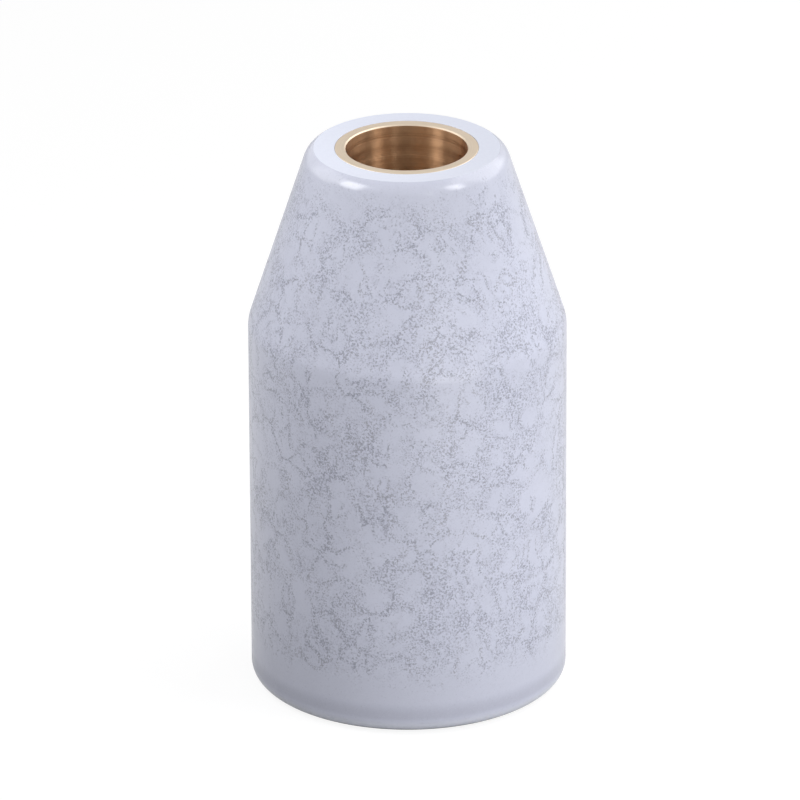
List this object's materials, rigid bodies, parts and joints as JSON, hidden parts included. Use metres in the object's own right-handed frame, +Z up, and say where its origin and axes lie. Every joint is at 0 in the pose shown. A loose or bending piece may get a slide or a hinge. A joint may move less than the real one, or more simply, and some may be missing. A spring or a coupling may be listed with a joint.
{
  "type": "plasma torch shield cap",
  "caption": "Hollow cap with a white insulating shell, cylinder below and cone above, over a threaded brass liner that shows as a ring in the flat nose.",
  "frame": {"origin": "centre of the flat ring at the base that the cap stands on", "axes": "+Z up the turning axis, from the open base towards the nose"},
  "size_m": [0.033, 0.033, 0.0589],
  "materials": {
    "insulating_shell": "satin",
    "brass": "satin"
  },
  "bodies": {
    "root": {"insulating_shell": "insulating_shell", "brass_liner": "brass"}
  },
  "joints": []
}
